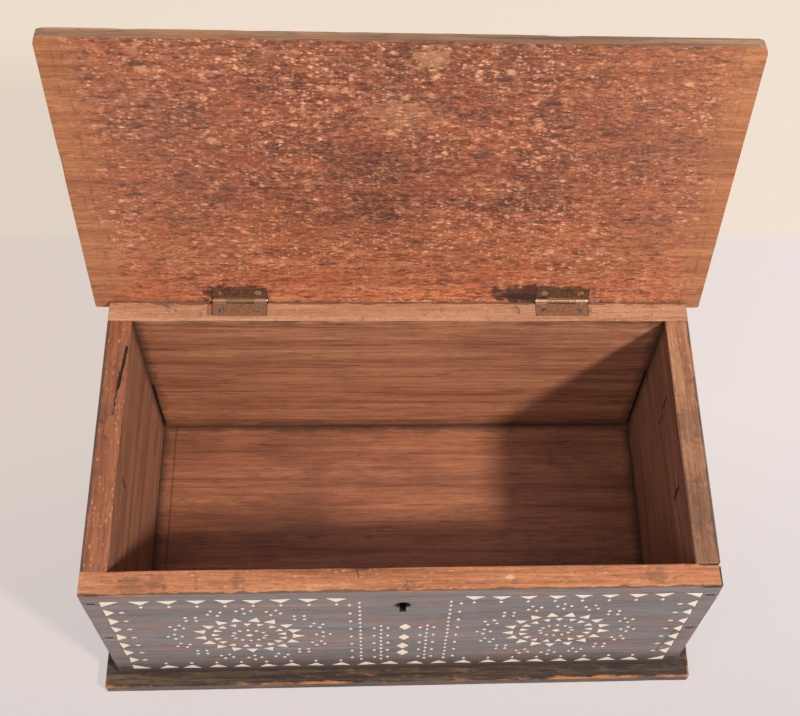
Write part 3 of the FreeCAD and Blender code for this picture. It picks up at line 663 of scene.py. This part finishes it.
def keyhole_painted_shade_wood():
    """Wood inside the keyhole: painted near black, a painted shade for the inside of the hole."""
    material, tree = new_material("painted_shade_keyhole_hardwood")
    point = millimetres(tree)
    coats = Coats(tree, "#1b1310")
    coats.lay("#3a271d", blotches(tree, point, 1.4, 0.55, 0.75), 0.5)
    finish_wood(tree, coats.colour, blotches(tree, point, 0.8, 0.2, 0.8), 0.8, 0.1)
    return material


# ---- boards: the CAD solids with worn arrises

def island_mesh(node, swung):
    """A merged copy of a node's mesh, on the closed box for the lid's nodes."""
    bm = bmesh.new()
    bm.from_mesh(frame["nodes"][node].data)
    if swung:
        bm.transform(to_closed)
    bmesh.ops.remove_doubles(bm, verts=bm.verts, dist=MERGE)
    return bm


def finished(name, mesh, body, node):
    """Makes a mesh into a piece that rides on a body and stands for its CAD node."""
    piece = bpy.data.objects.new(name, mesh)
    bpy.context.collection.objects.link(piece)
    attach(piece, body)
    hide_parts(node)
    return piece


def plain_mesh(name, bm, materials):
    """A bmesh as a mesh with its materials."""
    mesh = bpy.data.meshes.new(name)
    bm.to_mesh(mesh)
    bm.free()
    for material in materials:
        mesh.materials.append(material)
    return mesh


def distances(co, low, high):
    """For each axis, the distance to the nearer of the board's two planes."""
    return [min(co[i] - low[i], high[i] - co[i]) for i in range(3)]


def wear_arrises(bm, low, high, corner, deepest, spared, seed):
    """Cuts the arrises into short lengths, rounds them, and wears them unevenly inwards,
    except in the spared boxes, where the hinges are let in."""
    def kept(vert):
        return any(all(lower[i] - LEAF_MARGIN < vert.co[i] < upper[i] + LEAF_MARGIN
                       for i in range(3)) for lower, upper in spared)

    def on_arris(vert):
        if kept(vert):
            return False
        near = sorted(distances(vert.co, low, high))
        return near[0] < 10 * MERGE and near[1] < corner + 10 * MERGE

    arrises = []
    for edge in bm.edges:
        if len(edge.link_faces) == 2 and on_arris(edge.verts[0]) and on_arris(edge.verts[1]):
            if edge.calc_face_angle(0) > SHARP:
                arrises.append(edge)
    cut = []
    for edge in arrises:
        start, end = edge.verts
        pieces = int(edge.calc_length() / ARRIS_PIECE) + 1
        for piece in range(pieces, 1, -1):
            _, middle = bmesh.utils.edge_split(edge, start, 1 / piece)
            cut.append(next(e for e in middle.link_edges if e.other_vert(middle) == start))
            edge = next(e for e in middle.link_edges if e.other_vert(middle) == end)
            start = middle
        cut.append(edge)
    bmesh.ops.bevel(bm, geom=cut, offset=ROUND_OFF, segments=2, profile=0.5, affect="EDGES",
                    clamp_overlap=True)
    # the faces are still flat here, so they are cut into triangles before the wear bends them
    bmesh.ops.triangulate(bm, faces=bm.faces)
    worn_reach = 1.3 * ROUND_OFF
    for vert in bm.verts:
        near = distances(vert.co, low, high)
        if sorted(near)[1] > worn_reach or kept(vert):
            continue
        wear = noise.noise(vert.co * 90 + Vector((seed, 0, 0)))
        chip = max(0.0, noise.noise(vert.co * 30 + Vector((0, seed, 0))) - 0.25)
        amount = min(RUB * (wear + 1) / 2 + CHIP * chip, deepest)
        for axis in range(3):
            if 20 * MERGE < near[axis] < worn_reach:
                inward = 1 if vert.co[axis] - low[axis] < high[axis] - vert.co[axis] else -1
                vert.co[axis] += inward * amount


def make_board(node, body, materials, choose):
    """One board. choose(normal, centre) gives the number of a face's material."""
    board = BOARDS[node]
    bm = island_mesh(node, board.swung)
    bmesh.ops.dissolve_limit(bm, angle_limit=FLAT, verts=bm.verts, edges=bm.edges)
    corner = LID_CORNER if board.swung else 0.0
    # the hinges are let into the back rim right up to its arris, so little of it can be lost
    deepest = {"back": DEEPEST_BACK_CHIP, "left_side": DEEPEST_SIDE_CHIP,
               "right_side": DEEPEST_SIDE_CHIP}.get(board.name, DEEPEST_CHIP)
    if board.swung:
        spared = [closed_box(side + "_hinge_lid_leaf") for side in ("left", "right")]
    else:
        spared = [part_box(side + "_hinge_rim_leaf") for side in ("left", "right")]
    wear_arrises(bm, board.low * MM, board.high * MM, corner, deepest, spared, board.offset / 10)
    bm.normal_update()
    for face in bm.faces:
        face.material_index = choose(face.normal, face.calc_center_median())
    mesh = plain_mesh("worn_" + node, bm, materials)
    if board.swung:
        mesh.transform(to_open)
    finished("worn_" + node, mesh, body, node)


def make_boards():
    for node in ("front_board", "back_board", "left_side_board", "right_side_board"):
        board = BOARDS[node]
        materials = [stained_wood(board), bare_wood(board)]
        if board.name == "front":
            materials.append(keyhole_painted_shade_wood())

        def choose(normal, centre, board=board):
            way = board.outwards
            # painted shade: the faces inside the keyhole take the near-black keyhole wood
            if board.name == "front" and (centre - keyhole_centre).length < KEYHOLE_REACH:
                if abs(normal.y) < 0.5 and front_low[1] + MM < centre.y < front_high[1] - MM:
                    return 2
            if normal.dot(way) > 0.3 or (abs(normal.x) > 0.9 and way.x == 0):
                return 0
            return 1

        make_board(node, "box", materials, choose)
    make_board("base_board", "box", [base_wood(BOARDS["base_board"])], lambda normal, centre: 0)
    lid = BOARDS["lid_board"]

    def choose_lid(normal, centre):
        if normal.z < -0.3:
            return 1
        return 0 if normal.z > 0.3 else 2

    make_board("lid_board", "lid", [stained_wood(lid), lid_underside(lid), lid_edge(lid)],
               choose_lid)


# ---- bone, mastic, brass and iron

def bone_material():
    """Camel bone, scraped and polished in place: off-white, close and faintly streaked,
    yellower in some pieces than in others, with brown in its fine cracks."""
    material, tree = new_material("polished_bone")
    point = millimetres(tree)
    tone = add(tree, "ShaderNodeAttribute", take="Fac", attribute_name="tone")
    colour = add(tree, "ShaderNodeValToRGB", {"Fac": tone},
                 stops=[(0.0, "#ebdfcf"), (0.3, "#faf3e9"), (1.0, "#fffcf6")])
    coats = Coats(tree, colour)
    streak = blotches(tree, point, 0.9, 0.45, 0.75, 0.35)
    coats.lay("#cdb8a0", streak, 0.4)
    coats.lay("#85634a", blotches(tree, point, 2.2, 0.68, 0.74, 0.6), 0.6)
    surface(tree, coats.colour, 0.34, streak, 0.04,
            {"IOR": 1.54, "Subsurface Weight": 0.08, "Subsurface Scale": 0.001})
    return material


def mastic_material():
    """Resin and sawdust that bedded the bone: dark orange-brown, dull, squeezed out in a
    thin line round each piece."""
    material, tree = new_material("brown_mastic")
    point = millimetres(tree)
    coats = Coats(tree, "#4a2e20")
    lumps = blotches(tree, point, 1.6, 0.3, 0.7)
    coats.lay("#8a5a3c", lumps)
    surface(tree, coats.colour, 0.62, lumps, 0.05)
    return material


def old_metal(name, dark, middle, bright, rubbed_low, roughness, rust_at=None):
    """Old metal: brown tarnish with dull patches, rubbed bright where noise is above
    rubbed_low, rubbed bright and painted with a highlight on the knuckles, and rusty round rust_at, a place in
    millimetres."""
    material, tree = new_material(name)
    point = millimetres(tree)
    coats = Coats(tree, dark)
    cloud = blotches(tree, point, 2.0, 0.35, 0.65)
    coats.lay(middle, cloud)
    spots = blotches(tree, point, 3.0, rubbed_low, rubbed_low + 0.12, 1.8)
    # the knuckles are rubbed bright, and this also paints in their highlight
    from_axis = add(tree, "ShaderNodeVectorMath",
                    {0: add(tree, "ShaderNodeVectorMath", {0: point, 1: pin / MM},
                            operation="SUBTRACT"), 1: (0, 1, 1)}, operation="MULTIPLY")
    reach = add(tree, "ShaderNodeVectorMath", {0: from_axis}, take="Value", operation="LENGTH")
    knuckle_wear_and_highlight = add(tree, "ShaderNodeMapRange", {"Value": reach, "From Min": 2.5, "From Max": 2.15})
    handled = add(tree, "ShaderNodeMath", {0: knuckle_wear_and_highlight, 1: blotches(tree, point, 2.2, 0.3, 0.55)},
                  operation="MULTIPLY")
    rubbed = add(tree, "ShaderNodeMath", {0: spots, 1: handled}, operation="MAXIMUM")
    coats.lay(bright, rubbed, 0.9)
    if rust_at:
        coats.lay("#a35a2c", patch(tree, point, rust_at, (3.3, 3.3, 3.3), 0.5, 1.5), 0.8)
    rough = add(tree, "ShaderNodeMapRange",
                {"Value": rubbed, "To Min": roughness, "To Max": roughness - 0.2})
    metallic = add(tree, "ShaderNodeMapRange", {"Value": rubbed, "To Min": 0.35, "To Max": 0.9})
    surface(tree, coats.colour, rough, cloud, 0.06, {"Metallic": metallic})
    return material


def geometry_tree(name, sockets):
    """An empty Geometry Nodes tree with named inputs and one geometry output."""
    tree = bpy.data.node_groups.new(name, "GeometryNodeTree")
    tree.interface.new_socket("Geometry", in_out="INPUT", socket_type="NodeSocketGeometry")
    for label, kind in sockets:
        tree.interface.new_socket(label, in_out="INPUT", socket_type=kind)
    tree.interface.new_socket("Geometry", in_out="OUTPUT", socket_type="NodeSocketGeometry")
    return tree, tree.nodes.new("NodeGroupInput").outputs


def bone_tree():
    """Gives each flat bone prism a softly bevelled, slightly proud top, its own tone, and a
    line of mastic squeezed out round its foot."""
    tree, given = geometry_tree("set_bone", [
        ("Outwards", "NodeSocketVector"), ("Bevel", "NodeSocketFloat"),
        ("Sink", "NodeSocketFloat"), ("Squeeze", "NodeSocketFloat"), ("Seed", "NodeSocketInt"),
        ("Bone", "NodeSocketMaterial"), ("Mastic", "NodeSocketMaterial")])
    island = add(tree, "GeometryNodeInputMeshIsland", take="Island Index")
    tone = add(tree, "FunctionNodeRandomValue", {"ID": island, "Seed": given["Seed"]}, take="Value",
               data_type="FLOAT")
    toned = add(tree, "GeometryNodeStoreNamedAttribute",
                {"Geometry": given["Geometry"], "Name": "tone", "Value": tone},
                data_type="FLOAT", domain="FACE")
    normal = add(tree, "GeometryNodeInputNormal")
    facing = add(tree, "ShaderNodeVectorMath", {0: normal, 1: given["Outwards"]}, take="Value",
                 operation="DOT_PRODUCT")
    top = add(tree, "FunctionNodeCompare", {"A": facing, "B": 0.9}, data_type="FLOAT",
              operation="GREATER_THAN")
    down = add(tree, "ShaderNodeVectorMath", {0: given["Outwards"], "Scale": given["Sink"]},
               operation="SCALE")
    back = add(tree, "ShaderNodeVectorMath", {0: down, "Scale": -1.0}, operation="SCALE")
    lowered = add(tree, "GeometryNodeSetPosition",
                  {"Geometry": toned, "Selection": top, "Offset": back})
    raised = add(tree, "GeometryNodeExtrudeMesh",
                 {"Mesh": lowered, "Selection": top, "Offset Scale": given["Sink"]}, mode="FACES")
    shrunk = add(tree, "GeometryNodeScaleElements",
                 {"Geometry": raised, "Selection": raised.node.outputs["Top"],
                  "Scale": given["Bevel"]}, domain="FACE")
    bone = add(tree, "GeometryNodeSetMaterial", {"Geometry": shrunk, "Material": given["Bone"]})
    # mastic: the prism's outline, a little larger and level with the wood
    rest = add(tree, "FunctionNodeBooleanMath", {0: top}, operation="NOT")
    flat = add(tree, "GeometryNodeDeleteGeometry", {"Geometry": toned, "Selection": rest},
               domain="FACE")
    wide = add(tree, "GeometryNodeScaleElements", {"Geometry": flat, "Scale": given["Squeeze"]},
               domain="FACE")
    thin = add(tree, "GeometryNodeExtrudeMesh", {"Mesh": wide, "Offset Scale": MASTIC_RISE},
               mode="FACES")
    below = add(tree, "GeometryNodeFlipFaces", {"Mesh": wide})
    both = tree.nodes.new("GeometryNodeJoinGeometry")
    tree.links.new(thin, both.inputs[0])
    tree.links.new(below, both.inputs[0])
    closed = add(tree, "GeometryNodeMergeByDistance",
                 {"Geometry": both.outputs[0], "Distance": MERGE})
    mastic = add(tree, "GeometryNodeSetMaterial",
                 {"Geometry": closed, "Material": given["Mastic"]})
    join = tree.nodes.new("GeometryNodeJoinGeometry")
    tree.links.new(bone, join.inputs[0])
    tree.links.new(mastic, join.inputs[0])
    real = add(tree, "GeometryNodeRealizeInstances", {"Geometry": join.outputs[0]})
    add(tree, "NodeGroupOutput", {"Geometry": real})
    return tree


def through_tree(name, bm, tree, values):
    """Runs a mesh through a Geometry Nodes tree and gives the plain mesh that comes out."""
    source = bpy.data.meshes.new(name)
    bm.to_mesh(source)
    bm.free()
    carrier = bpy.data.objects.new(name + "_carrier", source)
    bpy.context.collection.objects.link(carrier)
    modifier = carrier.modifiers.new("shape", "NODES")
    modifier.node_group = tree
    for item in tree.interface.items_tree:
        if item.in_out == "INPUT" and item.name in values:
            modifier[item.identifier] = values[item.name]
    evaluated = carrier.evaluated_get(bpy.context.evaluated_depsgraph_get())
    mesh = bpy.data.meshes.new_from_object(evaluated)
    mesh.name = name
    bpy.data.objects.remove(carrier)
    return mesh


def make_bone(bone, mastic):
    """Every bone group of the front and of the lid."""
    tree = bone_tree()
    for seed, node in enumerate(sorted(name for name, slot in SLOTS.items() if slot == "bone")):
        on_lid = node.startswith("lid_")
        bm = island_mesh(node, on_lid)
        bmesh.ops.dissolve_limit(bm, angle_limit=FLAT, verts=bm.verts, edges=bm.edges)
        outwards = (0.0, 0.0, 1.0) if on_lid else (0.0, -1.0, 0.0)
        mesh = through_tree("bone_" + node, bm, tree, {
            "Outwards": outwards, "Bevel": 0.9, "Sink": BONE_RISE, "Squeeze": 1.1, "Seed": seed,
            "Bone": bone, "Mastic": mastic})
        if on_lid:
            mesh.transform(to_open)
        finished("bone_" + node, mesh, "lid" if on_lid else "box", node)


def soften(node, body, materials, width, shortest=0.0, choose=None):
    """A metal node with its sharp edges rounded. choose(centre) numbers a face's material."""
    bm = island_mesh(node, False)
    # the short edges round screw holes stay as they are
    sharp = [e for e in bm.edges if len(e.link_faces) == 2 and e.calc_length() > shortest
             and e.calc_face_angle(0) > METAL_SHARP]
    bmesh.ops.bevel(bm, geom=sharp, offset=width, segments=1, profile=0.5, affect="EDGES",
                    clamp_overlap=True)
    if choose:
        for face in bm.faces:
            face.material_index = choose(face.calc_center_median())
    finished("worn_" + node, plain_mesh("worn_" + node, bm, materials), body, node)


def make_metal():
    leaf_low, leaf_high = [Vector(corner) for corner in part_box("left_hinge_lid_leaf")]
    screw_low, screw_high = [Vector(corner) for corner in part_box("left_hinge_lid_screws")]
    lost_screw = (screw_low + screw_high) / 2
    lost_screw.x = leaf_low.x + leaf_high.x - lost_screw.x
    leaf = old_metal("tarnished_brass", "#4a3427", "#80583f", "#b58f68", 0.68, 0.55,
                     tuple(lost_screw / MM))
    rim_leaf = old_metal("worn_tarnished_brass", "#7d5641", "#a27256", "#c5a083", 0.66, 0.6)
    steel = old_metal("worn_steel", "#4a3d33", "#85786a", "#c9c1b4", 0.5, 0.45)
    silvery = old_metal("zinc_plated_steel", "#77704f", "#a9a489", "#dcd8c4", 0.45, 0.4)
    brass = old_metal("yellow_brass", "#8a5c20", "#c48f35", "#e8c878", 0.5, 0.4)
    iron = old_metal("rusted_iron", "#1b1412", "#3d2418", "#6b4327", 0.62, 0.75)
    right_low, right_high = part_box("right_hinge_lid_screws")
    middle = (right_low[0] + right_high[0]) / 2
    for side in ("left", "right"):
        soften(side + "_hinge_rim_leaf", "box", [rim_leaf], METAL_BEVEL, LEAF_SHORTEST)
        soften(side + "_hinge_lid_leaf", "lid", [leaf], METAL_BEVEL, LEAF_SHORTEST)
        soften(side + "_hinge_pin", "box", [steel], METAL_BEVEL)
        soften(side + "_hinge_rim_screws", "box", [steel], SCREW_BEVEL)
        soften(side + "_hinge_lid_screws", "lid", [silvery, brass], SCREW_BEVEL,
               choose=lambda centre: 1 if centre.x > middle else 0)
    for node in ("front_corner_nails", "back_corner_nails", "base_nails"):
        soften(node, "box", [iron], NAIL_BEVEL)


# ---- the stage

def make_floor():
    """A pale table top with a cream wall colour beyond it: both painted lighter towards the right and the table
    darker towards the front, painted light and shade, and for camera rays it mostly glows, a painted light.
    """
    material, tree = new_material("pale_paper_table")
    point = add(tree, "ShaderNodeTexCoord", take="Object")
    x, y = [component(tree, point, axis) for axis in (0, 1)]
    across = add(tree, "ShaderNodeMapRange", {"Value": x, "From Min": -0.35, "From Max": 0.35})
    near = add(tree, "ShaderNodeMapRange", {"Value": y, "From Min": 0.1, "From Max": -0.15})
    behind = add(tree, "ShaderNodeMapRange", {"Value": y, "From Min": 0.262, "From Max": 0.272})
    # painted light and shade: lighter towards the right, where the key light stands, and darker towards the front
    table = Coats(tree, "#e9dacf")
    table.lay("#e9e0de", across)
    table.lay("#d3cdcf", near, 0.8)
    wall = Coats(tree, "#eedfce")
    wall.lay("#f1e2d3", across)
    table.lay(wall.colour, behind)
    colour = table.colour
    # painted light: for camera and glossy rays the table mostly glows in its own colour, which weakens the box's
    # shadow on it
    seen = tree.nodes.new("ShaderNodeLightPath")
    direct = add(tree, "ShaderNodeMath", {0: seen.outputs["Is Camera Ray"],
                                          1: seen.outputs["Is Glossy Ray"]}, operation="MAXIMUM")
    painted_glow = add(tree, "ShaderNodeEmission", {"Color": colour, "Strength": 1.0})
    matt = add(tree, "ShaderNodeBsdfDiffuse", {"Color": colour})
    share = add(tree, "ShaderNodeMath", {0: direct, 1: 0.76}, operation="MULTIPLY")
    mixed = add(tree, "ShaderNodeMixShader", {0: share, 1: matt, 2: painted_glow})
    add(tree, "ShaderNodeOutputMaterial", {"Surface": mixed})
    bm = bmesh.new()
    bmesh.ops.create_grid(bm, x_segments=1, y_segments=1, size=TABLE)
    floor = bpy.data.objects.new("table_top", plain_mesh("table_top", bm, [material]))
    bpy.context.collection.objects.link(floor)


def make_light(name, place, aim, size, power, colour):
    data = bpy.data.lights.new(name, "AREA")
    data.shape = "DISK"
    data.size = size
    data.energy = power
    data.color = linear(colour)[:3]
    lamp = bpy.data.objects.new(name, data)
    lamp.location = place
    lamp.rotation_euler = (Vector(aim) - Vector(place)).to_track_quat("-Z", "Y").to_euler()
    bpy.context.collection.objects.link(lamp)


def make_lights():
    centre = Vector((0.0, 0.0, 0.12))
    # the key stands high on the right in front of the box
    make_light("key_light", (1.544, -1.319, 2.164), centre, 0.3, 84.0, "#fff3e4")
    make_light("fill_light", (-1.6, -1.2, 1.7), centre, 1.4, 16.0, "#fff4e8")
    world = bpy.data.worlds.new("studio")
    world.use_nodes = True
    tree = world.node_tree
    tree.nodes.clear()
    seen = tree.nodes.new("ShaderNodeLightPath")
    soft = add(tree, "ShaderNodeBackground", {"Color": "#eef1ff", "Strength": 0.43})
    pale = add(tree, "ShaderNodeBackground", {"Color": "#f1e6da", "Strength": 1.0})
    mixed = add(tree, "ShaderNodeMixShader", {0: seen.outputs["Is Camera Ray"], 1: soft, 2: pale})
    add(tree, "ShaderNodeOutputWorld", {"Surface": mixed})
    bpy.context.scene.world = world


def make_camera():
    """Looks down into the open box from in front, a little left of its middle."""
    data = bpy.data.cameras.new("camera")
    data.sensor_width = 36.0
    data.lens = 60.5
    data.shift_x = -0.095
    camera = bpy.data.objects.new("camera", data)
    camera.location = (-0.01809, -0.36969, 0.92012)
    camera.rotation_euler = [math.radians(angle) for angle in (29.543, -3.692, -2.209)]
    bpy.context.collection.objects.link(camera)
    bpy.context.scene.camera = camera


make_camera()
make_lights()
make_floor()
make_boards()
make_bone(bone_material(), mastic_material())
make_metal()
bpy.context.scene.view_settings.view_transform = "Standard"
